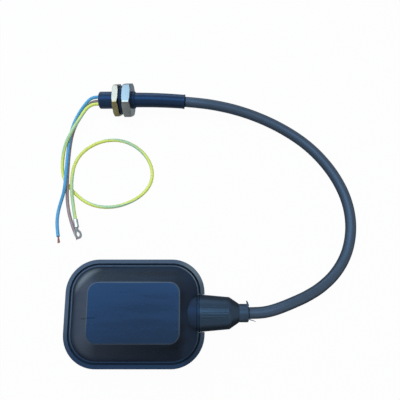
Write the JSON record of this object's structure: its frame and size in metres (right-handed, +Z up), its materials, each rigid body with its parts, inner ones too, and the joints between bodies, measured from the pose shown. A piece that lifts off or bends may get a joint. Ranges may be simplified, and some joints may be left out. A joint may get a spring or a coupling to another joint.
{
  "type": "float switch",
  "caption": "Tilt float switch: a sealed plastic float with a ball-operated snap switch inside, a rubber cable through a gland nut, a threaded tank fitting and loose cores.",
  "frame": {"origin": "on the floor, under the middle of the float and its gland, the cord and what is on it not counted", "axes": "+X from the float along its gland to where the cable leaves; +Z up, out of the flat face on top; +Y to the side on which the cable's loop lies"},
  "size_m": [0.2477, 0.2327, 0.042],
  "materials": {
    "shell_plastic": "moulded blue-black plastic with a slight gloss",
    "gland_plastic": "moulded dark blue-grey plastic",
    "seal_rubber": "black rubber",
    "white_nylon": "natural white nylon",
    "steel_zinc": "zinc-plated steel",
    "ball_steel": "polished steel",
    "switch_plastic": "black thermoset moulding",
    "plunger_plastic": "red nylon",
    "contact_metal": "copper alloy",
    "cable_rubber": "matt dark blue-grey rubber",
    "sleeve_plastic": "glossy black heat-shrink sleeve",
    "bush_rubber": "black rubber",
    "nut_brass": "pale brass, machined",
    "screw_nickel": "nickel-plated brass",
    "blue_insulation": "light blue insulation",
    "brown_insulation": "brown insulation",
    "earth_insulation": "yellow insulation with green stripes",
    "cap_plastic": "grey crimped end cap",
    "terminal_tin": "tinned copper"
  },
  "bodies": {
    "float": {"cable": "cable_rubber", "cable_bush": "bush_rubber", "cable_clamp": "white_nylon", "cable_inner": "cable_rubber", "cable_seal": "seal_rubber", "cable_sleeved": "cable_rubber", "case_base": "white_nylon", "case_lid": "white_nylon", "case_screws": "steel_zinc", "clamp_screws": "steel_zinc", "contact_blade": "contact_metal", "core_blue": "blue_insulation", "core_brown": "brown_insulation", "core_earth": "earth_insulation", "earth_end_cap": "cap_plastic", "gland_nut": "gland_plastic", "gland_thrust_ring": "white_nylon", "heat_shrink_sleeve": "sleeve_plastic", "hollow_screw": "screw_nickel", "lead_blue_inner": "blue_insulation", "lead_brown_inner": "brown_insulation", "lead_earth_inner": "earth_insulation", "lever_pin": "ball_steel", "lock_nut": "nut_brass", "ring_terminal": "terminal_tin", "sealing_ring": "seal_rubber", "shell_lower": "shell_plastic", "shell_upper": "shell_plastic", "strands_blue": "contact_metal", "strands_brown": "contact_metal", "switch_cover": "switch_plastic", "switch_housing": "switch_plastic", "terminal_closed": "contact_metal", "terminal_common": "contact_metal", "terminal_open": "contact_metal"},
    "ball": {"steel_ball": "ball_steel"},
    "lever": {"switch_lever": "ball_steel"},
    "plunger": {"switch_plunger": "plunger_plastic"}
  },
  "joints": [
    {"name": "ball_roll", "type": "slide", "parent": "float", "child": "ball", "axis": [1, 0, 0], "range_m": [0, 0.012]},
    {"name": "lever_hinge", "type": "hinge", "parent": "float", "child": "lever", "pos_m": [-0.01725, -0.011, 0.021], "axis": [0, 0, -1], "range_deg": [0, 7], "stiffness_Nm_per_rad": 0.009},
    {"name": "plunger_slide", "type": "slide", "parent": "float", "child": "plunger", "axis": [1, 0, 0], "range_m": [0, 0.00086], "stiffness_N_per_m": 20}
  ],
  "couplings": [
    {"joint": "lever_hinge", "follows": "ball_roll", "rad_per_m": 10.18},
    {"joint": "plunger_slide", "follows": "ball_roll", "ratio": 0.0713}
  ]
}
